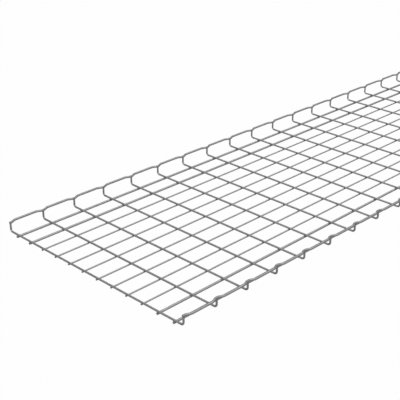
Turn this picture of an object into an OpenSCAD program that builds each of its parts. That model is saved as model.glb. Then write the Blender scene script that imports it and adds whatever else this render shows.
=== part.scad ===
// Wire mesh cable basket: one length of shallow, wide wire tray for cables.
// Frame: origin under the middle of the basket, at the level it rests on.
// +X runs along the basket, +Y to its left side, +Z up. Units are millimetres.
//
// Long floor wires carry bent cross wires, which lie on top of them and stand
// up at both sides. A waved edge wire runs along the tops of the uprights.
// Every wire meets the next face to face at its weld.

/* [Mesh] */
// Number of bays along the length, one between each two cross wires
bays = 30; // [6:1:30]
// Distance between the middles of neighbouring cross wires
cross_pitch = 100; // [80:1:120]
// Number of long wires in the floor
floor_wires = 12; // [8:2:12]
// Distance between the middles of neighbouring floor wires
floor_pitch = 50; // [40:1:52]
// How far the long wires reach past the middles of the end cross wires
end_reach = 2.5; // [2.5:0.5:20]

/* [Sides] */
// Clear width between the uprights of the two sides
inside_width = 600; // [590:1:700]
// Height from the level it rests on to the top of the edge wires
basket_height = 35; // [30:1:110]
// Radius of the bend at the foot of each upright, at the middle of the wire
foot_bend = 7; // [5:0.5:12]
// How far the edge wire swings outward between two uprights
wave_depth = 6; // [2:0.5:8]
// Length of edge wire that lies straight across the top of each upright
wave_seat = 8; // [6:1:20]
// Length along the basket in which the edge wire swings out from there
wave_run = 13; // [12:1:25]
// Radius of the bends in the edge wire, at the middle of the wire
wave_bend = 8; // [4:0.5:8]

/* [Wires] */
// Diameter of the cross wires
cross_wire_d = 5; // [4:0.1:6]
// Diameter of the heavy floor wires, which lie nearest the sides
heavy_wire_d = 6; // [4:0.1:7]
// Diameter of the light floor wires between them
light_wire_d = 4; // [2.5:0.1:5]
// Number of heavy floor wires along each side
heavy_wires = 2; // [1:1:3]
// Diameter of the two edge wires
edge_wire_d = 6; // [4:0.1:7]

/* [Hidden] */
// A wire is a bar of few sides. Its flats stand at the wire's real diameter,
// so wires that cross lie flat on each other.
bar_sides = 8;
// Corners that stand in for one round bend.
foot_corners = 3;
wave_corners = 2;
zinc = [0.60, 0.61, 0.63];
edge_zinc = [0.66, 0.67, 0.69];

run_length = bays * cross_pitch;
first_x = -run_length / 2;
first_y = (floor_wires - 1) / 2 * floor_pitch;
// All floor wires touch the underside of the cross wires.
weld_z = heavy_wire_d;
cross_z = weld_z + cross_wire_d / 2;
edge_z = basket_height - edge_wire_d / 2;
upright_y = inside_width / 2 + cross_wire_d / 2;
upright_top = basket_height - edge_wire_d;
wave_out = wave_seat / 2 + wave_run;

// Two digits, so that the names of the wires sort in their order.
function two(n) = str(n < 10 ? "0" : "", n);

// ---- Bars along a flat path ----

function unit(v) = v / norm(v);
function turned(v, a) = [v.x * cos(a) - v.y * sin(a), v.x * sin(a) + v.y * cos(a)];
// Angle of the turn from direction a to direction b, positive to the left.
function turn(a, b) = atan2(a.x * b.y - a.y * b.x, a * b);

// A bend of radius r in place of the sharp corner q, as n corners around its arc.
function bend(p, q, s, r, n) = let (
  a = unit(q - p), t = turn(a, unit(s - q)),
  out = turned(a, t > 0 ? -90 : 90),
  middle = q - a * r * tan(abs(t) / 2) - out * r)
  [for (k = [0 : n - 1]) middle + turned(out, (k + 0.5) * t / n) * r / cos(t / n / 2)];

// A path with every corner between its ends bent to the radius r.
function bent(path, r, n) = let (last = len(path) - 1) concat(
  [path[0]],
  [for (k = [1 : last - 1]) each bend(path[k - 1], path[k], path[k + 1], r, n)],
  [path[last]]);

// Direction of the cut through a bar at corner k: half way between its two runs.
function half_way(path, k) = let (last = len(path) - 1,
  before = unit(path[max(k, 1)] - path[max(k, 1) - 1]),
  after = unit(path[min(k, last - 1) + 1] - path[min(k, last - 1)]))
  unit(before + after);

// A bar of diameter d along a path in the XY plane, mitred at each corner.
module bar(d, path) {
  r = d / 2 / cos(180 / bar_sides);
  last = len(path) - 1;
  rings = [for (k = [0 : last]) let (
    h = half_way(path, k),
    run = unit(path[min(k, last - 1) + 1] - path[min(k, last - 1)]),
    side = turned(h, 90) / (h * run))
    for (i = [0 : bar_sides - 1]) let (a = (i + 0.5) * 360 / bar_sides)
      [path[k].x + side.x * r * cos(a), path[k].y + side.y * r * cos(a), r * sin(a)]];
  caps = [
    [for (i = [0 : bar_sides - 1]) i],
    [for (i = [bar_sides - 1 : -1 : 0]) last * bar_sides + i]];
  sides = [for (k = [0 : last - 1], i = [0 : bar_sides - 1]) let (
    a = k * bar_sides, b = a + bar_sides, n = (i + 1) % bar_sides) [a + i, b + i, b + n, a + n]];
  polyhedron(rings, concat(caps, sides), convexity = 10);
}

// ---- Wires ----

// Long floor wire number j, counted from the left side.
module floor_wire(j) {
  heavy = j <= heavy_wires || j > floor_wires - heavy_wires;
  d = heavy ? heavy_wire_d : light_wire_d;
  color(zinc) translate([first_x - end_reach, first_y - (j - 1) * floor_pitch, weld_z - d / 2])
    rotate([0, 90, 0]) linear_extrude(height = run_length + 2 * end_reach)
      rotate(180 / bar_sides) circle(d = d / cos(180 / bar_sides), $fn = bar_sides);
}

// Cross wire number i, counted from the near end, with both of its uprights.
module cross_wire(i) {
  path = [[-upright_y, upright_top], [-upright_y, cross_z], [upright_y, cross_z], [upright_y, upright_top]];
  color(zinc) translate([first_x + (i - 1) * cross_pitch, 0, 0])
    rotate([0, 0, 90]) rotate([90, 0, 0]) bar(cross_wire_d, bent(path, foot_bend, foot_corners));
}

// Edge wire of the left side, waved outward from one upright to the next.
module edge_wire() {
  wave = [for (x = [0 : cross_pitch : run_length - cross_pitch / 2]) each [
    [x + wave_seat / 2, 0],
    [x + wave_out, wave_depth],
    [x + cross_pitch - wave_out, wave_depth],
    [x + cross_pitch - wave_seat / 2, 0]]];
  path = concat([[-end_reach, 0]], wave, [[run_length + end_reach, 0]]);
  color(edge_zinc) translate([first_x, upright_y, edge_z])
    bar(edge_wire_d, bent(path, wave_bend, wave_corners));
}

for (j = [1 : floor_wires])
  floor_wire(j);
for (i = [1 : bays + 1])
  cross_wire(i);
edge_wire();  // left_edge_wire
mirror([0, 1, 0]) edge_wire();  // right_edge_wire
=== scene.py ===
# %% [markdown]
# # A wire mesh cable basket
#
# A cable basket is a tray that carries cables along a ceiling or a wall. This
# one is 600 mm wide, very shallow and 3 m long. It is nothing but steel wire:
# long wires in the floor, cross wires that lie on them and stand up at both
# sides, and a waved wire along each edge. All of it is welded and then plated
# with zinc.
#
# The measured model comes first. It is loaded here as a fixed frame, and each
# piece that is made below takes its place and its size from that frame. The
# basket has no moving parts, so every piece rides on its one body.

# %% Load the measured frame
import bpy
import random
from math import cos, pi, radians, sin, tan
from mathutils import Matrix, Vector


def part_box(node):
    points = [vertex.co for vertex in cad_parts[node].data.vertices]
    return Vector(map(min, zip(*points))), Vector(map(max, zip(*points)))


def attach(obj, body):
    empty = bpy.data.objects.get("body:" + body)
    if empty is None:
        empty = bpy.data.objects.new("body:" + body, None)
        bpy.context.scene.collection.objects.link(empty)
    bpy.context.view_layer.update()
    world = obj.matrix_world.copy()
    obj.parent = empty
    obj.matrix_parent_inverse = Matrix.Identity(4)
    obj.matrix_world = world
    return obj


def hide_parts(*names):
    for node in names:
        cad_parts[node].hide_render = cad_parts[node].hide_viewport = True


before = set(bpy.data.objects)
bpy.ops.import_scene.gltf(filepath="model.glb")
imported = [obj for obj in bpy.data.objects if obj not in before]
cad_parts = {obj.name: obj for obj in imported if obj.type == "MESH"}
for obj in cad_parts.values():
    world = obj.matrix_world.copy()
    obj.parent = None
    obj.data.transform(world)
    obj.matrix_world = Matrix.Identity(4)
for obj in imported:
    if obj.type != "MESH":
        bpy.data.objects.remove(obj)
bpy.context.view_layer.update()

# %% [markdown]
# ## Reading the wires
#
# The names of the wires say what they are, and a box round each says where it
# lies. A long wire's box gives its height above the floor and its thickness,
# and a cross wire's box gives the place of one row of welds. Reading them
# from the frame means that nothing has to be measured twice.

# %% Sort the wires and measure them
MM = 0.001


def box_of(name):
    low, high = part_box(name)
    return Vector(low), Vector(high)


floor_names = sorted(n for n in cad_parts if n.startswith("floor_wire"))
cross_names = sorted(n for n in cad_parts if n.startswith("cross_wire"))
edge_names = {"left": "left_edge_wire", "right": "right_edge_wire"}

floor_wires = []
for name in floor_names:
    low, high = box_of(name)
    floor_wires.append({"name": name, "y": (low.y + high.y) / 2,
                        "z": (low.z + high.z) / 2, "d": high.z - low.z})
cross_x = [sum(c.x for c in box_of(name)) / 2 for name in cross_names]
near_x, far_x = (c.x for c in box_of(floor_names[0]))
heavy_d = max(w["d"] for w in floor_wires)
heavy = [w for w in floor_wires if w["d"] > 0.9 * heavy_d]
light = [w for w in floor_wires if w not in heavy]
pitch_x = cross_x[1] - cross_x[0]
pitch_y = floor_wires[0]["y"] - floor_wires[1]["y"]
print(f"{len(heavy)} heavy floor wires of {heavy_d / MM:.1f} mm,",
      f"{len(light)} light ones of {light[0]['d'] / MM:.1f} mm, {pitch_y / MM:.0f} mm apart")
print(f"{len(cross_x)} cross wires, {pitch_x / MM:.0f} mm apart")

# %% The heights and widths of the sides
cross_low, cross_high = box_of(cross_names[0])
edge_low, edge_high = box_of(edge_names["left"])
cross_d = cross_high.x - cross_low.x
edge_d = edge_high.z - edge_low.z
weld_z = cross_low.z
cross_z = weld_z + cross_d / 2
upright_y = cross_high.y - cross_d / 2
upright_top = cross_high.z
edge_z = (edge_low.z + edge_high.z) / 2
wave_depth = edge_high.y - edge_d / 2 - upright_y
print(f"uprights {upright_y / MM:.1f} mm from the middle, edge wires {edge_z / MM:.1f} mm up,",
      f"swung out by {wave_depth / MM:.1f} mm")

# %% [markdown]
# ## A wire as a swept ring
#
# A wire is the easiest shape to sweep: a ring of points is carried along a
# path, and neighbouring rings are joined by faces. A curve object with a
# bevel does the same, but its ends can't be shaped and its rings can't be
# counted. So the rings are placed in code. At a corner, a ring has to stand
# half way between the two runs and be a little wider, as a mitre is, or the
# wire would look pinched there.
#
# A bend is first drawn as a sharp corner, which is how a maker would mark it
# out. Then the corner is swapped for an arc of the bending tool's radius.

# %% Bend the corners of a path
def bent(corners, radius, steps):
    """The same path, with each inner corner turned into an arc."""
    path = [corners[0]]
    for before, corner, after in zip(corners, corners[1:], corners[2:]):
        arriving = (corner - before).normalized()
        leaving = (after - corner).normalized()
        turn = arriving.angle(leaving)
        if turn < 1e-3:
            path.append(corner)
            continue
        inward = (leaving - arriving * arriving.dot(leaving)).normalized()
        centre = corner - arriving * radius * tan(turn / 2) + inward * radius
        for k in range(steps + 1):
            a = turn * k / steps
            path.append(centre - inward * radius * cos(a) + arriving * radius * sin(a))
    path.append(corners[-1])
    return path


square = bent([Vector((0, 0, 0)), Vector((1, 0, 0)), Vector((1, 1, 0))], 0.1, 4)
print("a square corner in 4 steps becomes", len(square) - 2, "points")


# %% Sweep a ring along a path
# The cut ends get a narrow chamfer, and their faces a second finish.
CHAMFER = 0.35 * MM
CHAMFER_INSET = 0.7 * CHAMFER
SIDES = 20


def sweep(path, d, flat_normal):
    """A round wire along a path that lies in one plane."""
    first = (path[1] - path[0]).normalized()
    last = (path[-1] - path[-2]).normalized()
    path = [path[0], path[0] + first * CHAMFER, *path[1:-1], path[-1] - last * CHAMFER, path[-1]]
    verts = []
    for k, point in enumerate(path):
        arriving = (point - path[k - 1]).normalized() if k else first
        leaving = (path[k + 1] - point).normalized() if k < len(path) - 1 else last
        along = (arriving + leaving).normalized()
        side = flat_normal.cross(along) / along.dot(leaving)
        radius = d / 2 - (CHAMFER_INSET if k in (0, len(path) - 1) else 0)
        for i in range(SIDES):
            a = 2 * pi * i / SIDES
            verts.append(point + side * radius * cos(a) + flat_normal * radius * sin(a))
    top = len(verts) - SIDES
    faces = [(k + i, k + (i + 1) % SIDES, k + SIDES + (i + 1) % SIDES, k + SIDES + i)
             for k in range(0, top, SIDES) for i in range(SIDES)]
    ends = [tuple(reversed(range(SIDES))), tuple(range(top, top + SIDES))]
    return verts, faces, ends


UP = Vector((0, 0, 1))
rod_verts, rod_faces, rod_ends = sweep([Vector((0, 0, 0)), Vector((1, 0, 0))], heavy_d, UP)
print(f"a straight wire has {len(rod_verts)} corners, {len(rod_faces)} side faces",
      f"and {len(rod_ends)} end faces")


# %% [markdown]
# ## Materials as written sums
#
# A node tree is a sum written with boxes and threads. It is easier to read as
# a line of Python. The small class below wraps one output socket. When two of
# them are added, or one is taken from the number 1, it puts the matching node
# in the tree and hands back its output. Numbers go through Math nodes,
# vectors through Vector Math, and colours through Mix, because a Math node
# would turn a colour grey.

# %% A socket that can be calculated with
class Signal:
    """One number, colour or vector on its way through a node tree."""

    def __init__(self, recipe, socket, kind):
        self.recipe, self.socket, self.kind = recipe, socket, kind

    def _join(self, operation, a, b):
        kinds = [x.kind for x in (a, b) if isinstance(x, Signal)]
        if "colour" in kinds:
            a, b = (x if isinstance(x, (Signal, tuple)) else (x, x, x, 1) for x in (a, b))
            return self.recipe.node("ShaderNodeMix", {"data_type": "RGBA", "blend_type": operation},
                                    {0: 1.0, 6: a, 7: b}, out=2, kind="colour")
        if "vector" in kinds:
            a, b = (x if isinstance(x, (Signal, tuple)) else (x, x, x) for x in (a, b))
            return self.recipe.node("ShaderNodeVectorMath", {"operation": operation}, {0: a, 1: b},
                                    kind="vector")
        return self.recipe.node("ShaderNodeMath", {"operation": operation}, {0: a, 1: b})

    def __add__(self, other): return self._join("ADD", self, other)
    def __radd__(self, other): return self if other == 0 else self._join("ADD", other, self)
    def __sub__(self, other): return self._join("SUBTRACT", self, other)
    def __rsub__(self, other): return self._join("SUBTRACT", other, self)
    def __mul__(self, other): return self._join("MULTIPLY", self, other)
    def __rmul__(self, other): return self._join("MULTIPLY", other, self)
    def __truediv__(self, other): return self._join("DIVIDE", self, other)
    def __rtruediv__(self, other): return self._join("DIVIDE", other, self)


# %% A material as a recipe of nodes
class Recipe:
    """A new material, or another thing with nodes, and the one method that adds a node to it."""

    def __init__(self, name, shelf=bpy.data.materials):
        self.made = shelf.new(name)
        self.made.use_nodes = True
        self.tree = self.made.node_tree
        self.tree.nodes.clear()

    def node(self, kind_of_node, settings=None, sockets=None, out=0, kind="value"):
        made = self.tree.nodes.new(kind_of_node)
        for name, value in (settings or {}).items():
            if name == "stops":
                ramp = made.color_ramp
                while len(ramp.elements) < len(value):
                    ramp.elements.new(1.0)
                for element, (place, shade) in zip(ramp.elements, value):
                    element.position, element.color = place, (shade, shade, shade, 1)
            else:
                setattr(made, name, value)
        for name, value in (sockets or {}).items():
            if isinstance(value, Signal):
                self.tree.links.new(value.socket, made.inputs[name])
            else:
                made.inputs[name].default_value = value
        return Signal(self, made.outputs[out], kind) if made.outputs else made

    def place(self):
        """Where a point of the surface is, in metres."""
        return self.node("ShaderNodeTexCoord", out="Object", kind="vector")

    def part(self, vector, axis):
        return self.node("ShaderNodeSeparateXYZ", None, {0: vector}, out="XYZ".index(axis))

    def noise(self, vector, scale, detail):
        return self.node("ShaderNodeTexNoise", None,
                         {"Vector": vector, "Scale": scale, "Detail": detail})

    def ramp(self, value, *stops):
        return self.node("ShaderNodeValToRGB", {"stops": stops}, {0: value})

    def blend(self, factor, a, b):
        return self.node("ShaderNodeMix", {"data_type": "RGBA"}, {0: factor, 6: a, 7: b},
                         out=2, kind="colour")

    def finish(self, shader):
        self.node("ShaderNodeOutputMaterial", None, {"Surface": shader})
        return self.made


# %% [markdown]
# ## Zinc plated wire
#
# Drawn steel wire carries fine lines along its length, left by the die that
# it was pulled through. The zinc on top dulls them and adds a soft cloudy
# mottle, lighter where the crystals lie flat. Close to a weld the steel was
# hot, and the plating stays a little darker and rougher there.
#
# The lines are a noise that is squeezed hard across the wire and barely at
# all along it. So a wire that runs along the basket and one that runs across
# it need the same recipe with the squeeze turned, which is what `along` says.
# The welds sit at equal steps, so the distance to the nearest one is a bit of
# arithmetic on the place: no picture of the basket has to be painted.

# %% The recipe for plated wire
ZINC = (0.312, 0.312, 0.314, 1)
ZINC_PALE = (0.415, 0.415, 0.417, 1)
ZINC_HOT = (0.250, 0.250, 0.252, 1)
HOT_REACH = 9 * MM
# How finely each pattern is drawn: a larger number makes it smaller.
LINES_ALONG, LINES_ACROSS = 8, 2600
MOTTLE_SCALE = 160
GRAIN_SCALE = 2600


def plated_wire(name, along, weld_start, weld_step):
    r = Recipe(name)
    here = r.place()
    squeeze = tuple(LINES_ALONG if axis == along else LINES_ACROSS for axis in "XYZ")
    lines = r.noise(here * squeeze, 1.0, 1.0)
    mottle = r.ramp(r.noise(here, MOTTLE_SCALE, 3.0), (0.35, 0.0), (0.70, 1.0))
    grain = r.noise(here, GRAIN_SCALE, 2.0)
    steps = (r.part(here, along) - weld_start) / weld_step
    nearest = r.node("ShaderNodeMath", {"operation": "PINGPONG"}, {0: steps, 1: 0.5})
    near_weld = r.ramp(nearest * (weld_step / HOT_REACH), (0.25, 1.0), (1.0, 0.0))
    colour = r.blend(mottle * 0.7 + lines * 0.3, ZINC, ZINC_PALE)
    colour = r.blend(near_weld * 0.40, colour, ZINC_HOT)
    rough = 0.36 + mottle * 0.08 + near_weld * 0.12 + lines * 0.04
    bump = r.node("ShaderNodeBump", None, {"Strength": 0.20, "Distance": 0.05 * MM,
                                           "Height": lines * 0.6 + grain * 0.4}, kind="vector")
    return r.finish(r.node("ShaderNodeBsdfPrincipled", None, {
        "Base Color": colour, "Metallic": 0.85, "Roughness": rough, "Normal": bump}))


long_zinc = plated_wire("plated_long_wire", "X", cross_x[0], pitch_x)
cross_zinc = plated_wire("plated_cross_wire", "Y", floor_wires[0]["y"], pitch_y)
print("finishes:", long_zinc.name, cross_zinc.name)

# %% [markdown]
# ## Cut ends and welds
#
# The wires are cut to length in a shear before the plating. The blade drags
# fine upright scratches over each end, and the steel breaks off duller where
# it tore. The zinc over them is thin. The welds are squeezed spots with a
# small collar of steel pushed out around them, darker than the wire.

# %% The recipe for a sheared end
CUT_BRIGHT = (0.38, 0.38, 0.382, 1)
CUT_TORN = (0.25, 0.248, 0.245, 1)
UPRIGHT_LINES = (300, 5000, 300)
TORN_SCALE = 420
r = Recipe("sheared_end")
here = r.place()
scratches = r.noise(here * UPRIGHT_LINES, 1.0, 1.0)
torn = r.ramp(r.noise(here, TORN_SCALE, 2.0), (0.40, 0.0), (0.65, 1.0))
cut_colour = r.blend(torn * 0.7 + scratches * 0.3, CUT_BRIGHT, CUT_TORN)
cut_bump = r.node("ShaderNodeBump", None, {"Strength": 0.3, "Distance": 0.1 * MM,
                                           "Height": scratches * 0.7 + torn * 0.3}, kind="vector")
sheared_end = r.finish(r.node("ShaderNodeBsdfPrincipled", None, {
    "Base Color": cut_colour, "Metallic": 0.8, "Roughness": 0.40 + torn * 0.25,
    "Normal": cut_bump}))
print("end finish:", sheared_end.name, "with", len(r.tree.nodes), "nodes")

# %% The recipe for a weld
WELD_DARK = (0.20, 0.20, 0.20, 1)
WELD_PALE = (0.30, 0.30, 0.305, 1)
SCALE_MARKS = 1200
r = Recipe("welded_collar")
here = r.place()
scale_marks = r.noise(here, SCALE_MARKS, 3.0)
weld_colour = r.blend(scale_marks, WELD_DARK, WELD_PALE)
weld_bump = r.node("ShaderNodeBump", None, {"Strength": 0.4, "Distance": 0.2 * MM,
                                            "Height": scale_marks}, kind="vector")
welded_collar = r.finish(r.node("ShaderNodeBsdfPrincipled", None, {
    "Base Color": weld_colour, "Metallic": 0.8, "Roughness": 0.50 + scale_marks * 0.15,
    "Normal": weld_bump}))
print("weld finish:", welded_collar.name, "with", len(r.tree.nodes), "nodes")

# %% [markdown]
# ## One piece out of many wires
#
# A mesh doesn't have to hang together. So all wires of one kind go into one
# mesh: that is one thing to name and to move, in place of thirty-one. Every
# face keeps a number that says which of the piece's materials it takes, 0 for
# the plated skin and 1 for the cut ends. The shading is smooth, so twenty flat
# sides look round, and only edges sharper than a set angle are kept hard.

# %% Turn swept wires into one piece
SHARP_ANGLE = radians(40)


def make_piece(name, shapes, materials, nodes):
    """Joins shapes of (vertices, faces, end faces) into one piece of the basket."""
    verts, faces, marks = [], [], []
    for shape_verts, shape_faces, shape_ends in shapes:
        start = len(verts)
        verts.extend(shape_verts)
        for group, mark in ((shape_faces, 0), (shape_ends, 1)):
            faces.extend(tuple(start + v for v in face) for face in group)
            marks.extend([mark] * len(group))
    mesh = bpy.data.meshes.new(name)
    mesh.from_pydata(verts, [], faces)
    for material in materials:
        mesh.materials.append(material)
    mesh.polygons.foreach_set("material_index", marks)
    mesh.shade_smooth()
    mesh.set_sharp_from_angle(angle=SHARP_ANGLE)
    mesh.update()
    piece = bpy.data.objects.new(name, mesh)
    bpy.context.scene.collection.objects.link(piece)
    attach(piece, "root")
    if nodes:
        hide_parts(*nodes)
    print(f"{name}: {len(shapes)} shapes, {len(faces)} faces")


# %% [markdown]
# ## The floor wires
#
# Twelve straight wires make the floor. The two along each side are thicker
# than the cross wires and carry the basket on its brackets. The others only
# keep cables from falling through, so they are thinner. All of them touch the
# cross wires from below, which leaves the thin ones a little off the ground.

# %% Lay the floor wires
def straight_wire(w):
    return sweep([Vector((near_x, w["y"], w["z"])), Vector((far_x, w["y"], w["z"]))], w["d"], UP)


make_piece("heavy_floor_wires", [straight_wire(w) for w in heavy],
           [long_zinc, sheared_end], [w["name"] for w in heavy])
make_piece("light_floor_wires", [straight_wire(w) for w in light],
           [long_zinc, sheared_end], [w["name"] for w in light])

# %% [markdown]
# ## The cross wires
#
# Each cross wire is one wire, bent up at both ends over a round tool. The
# bend starts a little past the last floor wire and ends in a short upright.
# The path is drawn in the plane that stands across the basket.

# %% Bend the cross wires
FOOT_BEND = 7 * MM
FOOT_STEPS = 14


def cross_wire(x):
    corners = [Vector((x, -upright_y, upright_top)), Vector((x, -upright_y, cross_z)),
               Vector((x, upright_y, cross_z)), Vector((x, upright_y, upright_top))]
    return sweep(bent(corners, FOOT_BEND, FOOT_STEPS), cross_d, Vector((1, 0, 0)))


make_piece("cross_wires", [cross_wire(x) for x in cross_x], [cross_zinc, sheared_end], cross_names)

# %% [markdown]
# ## The waved edge wires
#
# The edge wire runs along the tops of the uprights. It comes in over each of
# them and swings out again between, so that lids and joining clips can hook
# behind it and no sharp wire end points at the cables. The wave lies flat: it
# never rises or falls. Over each upright the wire keeps straight for a short
# seat, so that the weld has something to hold on to, and then it bends away
# twice. It takes the most care of all the wires.

# %% Bend the edge wires
WAVE_SEAT = 8 * MM
WAVE_RUN = 13 * MM
WAVE_BEND = 8 * MM
WAVE_STEPS = 6
wave_out = WAVE_SEAT / 2 + WAVE_RUN


def edge_wire(side):
    def at(x, out):
        return Vector((x, side * (upright_y + out), edge_z))
    corners = [at(near_x, 0)]
    for x, next_x in zip(cross_x, cross_x[1:]):
        corners += [at(x + WAVE_SEAT / 2, 0), at(x + wave_out, wave_depth),
                    at(next_x - wave_out, wave_depth), at(next_x - WAVE_SEAT / 2, 0)]
    corners.append(at(far_x, 0))
    return sweep(bent(corners, WAVE_BEND, WAVE_STEPS), edge_d, UP)


make_piece("left_edge", [edge_wire(1)], [long_zinc, sheared_end], [edge_names["left"]])
make_piece("right_edge", [edge_wire(-1)], [long_zinc, sheared_end], [edge_names["right"]])

# %% [markdown]
# ## The welds
#
# Where two round wires cross they touch in one point. A welder presses them
# together between two electrodes while a current melts that point, and a
# small collar of steel is squeezed out. Each collar is a low ring of its own,
# slightly different from the next, with a fixed seed so that every run of
# this file gives the same basket.

# %% Squeeze a collar out at every weld
# The profile gives each ring's share of the collar's reach and of its half height.
COLLAR_PROFILE = ((0.60, 1.0), (0.92, 0.5), (1.0, 0.0), (0.92, -0.5), (0.60, -1.0))
COLLAR_SIDES = 14
RAGGED = 0.04
FLOOR_REACH, FLOOR_SQUEEZE = 0.40, 0.75 * MM
EDGE_REACH, EDGE_SQUEEZE = 0.53, 0.70 * MM
chance = random.Random(31)


def collar(middle, reach_x, reach_y, half_height):
    """A low, slightly ragged ring whose reach follows the two wires that meet in it."""
    sides = COLLAR_SIDES
    twist = chance.uniform(0, pi)
    verts = []
    for wide, high in COLLAR_PROFILE:
        for i in range(sides):
            a = twist + 2 * pi * i / sides
            share = wide * chance.uniform(1 - RAGGED, 1 + RAGGED)
            point = middle + Vector((reach_x * share * cos(a), reach_y * share * sin(a),
                                     half_height * high))
            point.x = min(max(point.x, near_x), far_x)
            verts.append(point)
    top = len(verts) - sides
    faces = [(k + i, k + sides + i, k + sides + (i + 1) % sides, k + (i + 1) % sides)
             for k in range(0, top, sides) for i in range(sides)]
    caps = [tuple(range(sides)), tuple(reversed(range(top, top + sides)))]
    return verts, faces + caps, []


floor_welds = [collar(Vector((x, w["y"], weld_z)),
                      FLOOR_REACH * cross_d, FLOOR_REACH * w["d"], FLOOR_SQUEEZE)
               for x in cross_x for w in floor_wires]
edge_welds = [collar(Vector((x, side * upright_y, upright_top)),
                     EDGE_REACH * cross_d, EDGE_REACH * cross_d, EDGE_SQUEEZE)
              for x in cross_x for side in (1, -1)]
make_piece("floor_welds", floor_welds, [welded_collar], [])
make_piece("edge_welds", edge_welds, [welded_collar], [])

# %% [markdown]
# ## Floor, light and camera
#
# The basket lies on a pale studio floor. A floor that is only white would
# take as much light as the basket does and come out grey. So a ray that comes
# straight from the camera mostly finds an even white there, and the part that
# is left still darkens in the shadows. A ray that bounces off the zinc finds
# some of that white too, but less of it: the undersides of the wires would
# lose their shade if the floor shone at them.

# %% The studio floor
def rays(recipe, *kinds):
    """1 for a ray of one of these kinds, and 0 for any other."""
    found = sum(recipe.node("ShaderNodeLightPath", out=f"Is {kind} Ray") for kind in kinds)
    return recipe.node("ShaderNodeMath", {"operation": "MINIMUM"}, {0: found, 1: 1.0})


WHITE_TO_CAMERA = 0.985
WHITE_TO_ZINC = 0.20
FLOOR_GREY = (0.40, 0.40, 0.40, 1)
r = Recipe("studio_floor")
matt = r.node("ShaderNodeBsdfDiffuse", None, {"Color": FLOOR_GREY})
even = r.node("ShaderNodeEmission", None, {"Color": (1, 1, 1, 1), "Strength": 1.0})
seen_by_camera = rays(r, "Camera") * WHITE_TO_CAMERA
white_share = seen_by_camera + rays(r, "Glossy", "Transmission") * WHITE_TO_ZINC
floor_material = r.finish(r.node("ShaderNodeMixShader", None, {0: white_share, 1: matt, 2: even}))

FLOOR_RADIUS = 12.0
RIM_POINTS = 64
rim_turns = [2 * pi * i / RIM_POINTS for i in range(RIM_POINTS)]
rim = [Vector((FLOOR_RADIUS * cos(a), FLOOR_RADIUS * sin(a), 0)) for a in rim_turns]
floor_mesh = bpy.data.meshes.new("studio_floor")
floor_mesh.from_pydata(rim, [], [tuple(range(RIM_POINTS))])
floor_mesh.materials.append(floor_material)
studio_floor = bpy.data.objects.new("studio_floor", floor_mesh)
bpy.context.scene.collection.objects.link(studio_floor)
print(f"floor: {2 * FLOOR_RADIUS:.0f} m across")

# %% [markdown]
# Plated wire has hardly a colour of its own: it shows the room. A wire mirrors
# only the part of the room that stands at one angle to its length. So a room
# with a darker wall on its left shades the wires that run across the basket
# and leaves the long ones bright, and the two kinds can be told apart. The
# wall past the far end is a little darker too, and keeps the long wires from
# fading where the camera sees them at a flat angle. A ceiling that is
# brighter than the walls puts a light band along the upper side of each wire
# and leaves a darker one below it, which is what makes a thin line look round.

# %% The room
DARK_WALL_SHADE = 0.58
FAR_WALL_SHADE = 0.45
WALL_GLOW, CEILING_GLOW = 0.55, 0.8
# How much of the room's light falls on things. What they mirror has all of it.
CAST_SHARE = 0.55
r = Recipe("studio_room", bpy.data.worlds)
direction = r.node("ShaderNodeTexCoord", out="Generated", kind="vector")
dark_wall = r.ramp(r.part(direction, "Y") * 0.5 + 0.5, (0.68, 0.0), (0.80, 1.0))
ceiling = r.ramp(r.part(direction, "Z"), (0.25, 0.0), (0.65, 1.0))
far_wall = r.ramp(r.part(direction, "X"), (0.62, 0.0), (0.82, 1.0))
walls = (1 - dark_wall * DARK_WALL_SHADE) * (1 - far_wall * FAR_WALL_SHADE)
room = walls * (ceiling * CEILING_GLOW + WALL_GLOW)
mirrored = rays(r, "Glossy", "Transmission")
camera_ray = rays(r, "Camera")
cast = mirrored * (1 - CAST_SHARE) + CAST_SHARE
brightness = camera_ray + (1 - camera_ray) * room * cast
light = r.node("ShaderNodeBackground", None, {"Color": (1, 1, 1, 1), "Strength": brightness})
r.node("ShaderNodeOutputWorld", None, {"Surface": light})
bpy.context.scene.world = r.made
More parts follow.
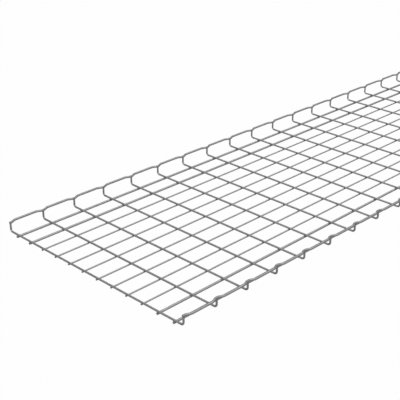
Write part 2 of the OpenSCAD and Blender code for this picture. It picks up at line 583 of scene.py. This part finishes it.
print("room:", r.made.name, "with", len(r.tree.nodes), "nodes")

# %% [markdown]
# The room alone would light the basket from all sides alike. Two broad lamps
# add a little light that has a direction. The larger a lamp is, the softer is
# the edge of its shadow, and these are wider than the basket. The weaker one
# hangs past the far end and lights the wires from behind. The stronger one
# hangs off the near end and lights them from the front.

# %% Two soft lamps
def soft_lamp(name, place, aim, size, watts):
    lamp = bpy.data.lights.new(name, "AREA")
    lamp.shape = "DISK"
    lamp.size = size
    lamp.energy = watts
    holder = bpy.data.objects.new(name, lamp)
    holder.location = place
    holder.rotation_euler = (Vector(aim) - Vector(place)).to_track_quat("-Z", "Y").to_euler()
    bpy.context.scene.collection.objects.link(holder)
    return holder


key = soft_lamp("key_lamp", (2.4, 0.2, 3.2), (-0.6, 0, 0), 1.6, 10)
fill = soft_lamp("fill_lamp", (-3.4, -1.2, 3.0), (-0.6, 0, 0), 2.6, 40)
print("lamps:", ", ".join(f"{lamp.name} {lamp.data.energy:.0f} W" for lamp in (key, fill)))

# %% [markdown]
# The camera stands off the near right corner, about a metre up, and looks
# down along the basket towards its left side. Its lens is long, so the meshes
# shrink only slowly with distance. A camera looks along its own -Z axis with
# +Y up, and a track quaternion turns any direction into that rotation. The
# view transform is Standard, which shows a colour as it was mixed.

# %% The camera
eye = Vector((-2.6678, -1.4764, 1.0777))
looks = Vector((0.65010, 0.62854, -0.42697))
roll = radians(0.43)
camera_data = bpy.data.cameras.new("camera")
camera_data.sensor_width = 36
camera_data.lens = 84.78
camera = bpy.data.objects.new("camera", camera_data)
aimed = looks.to_track_quat("-Z", "Y").to_matrix().to_4x4()
camera.matrix_world = Matrix.Translation(eye) @ aimed @ Matrix.Rotation(roll, 4, "Z")
bpy.context.scene.collection.objects.link(camera)
bpy.context.scene.camera = camera
print(f"camera: {(eye - Vector((near_x, 0, 0))).length:.2f} m from the near end")
bpy.context.scene.view_settings.view_transform = "Standard"

# %% [markdown]
# Last, the scene is brought up to date. The dressed basket must be no larger than the
# measured one.

# %% Finish
bpy.context.view_layer.update()
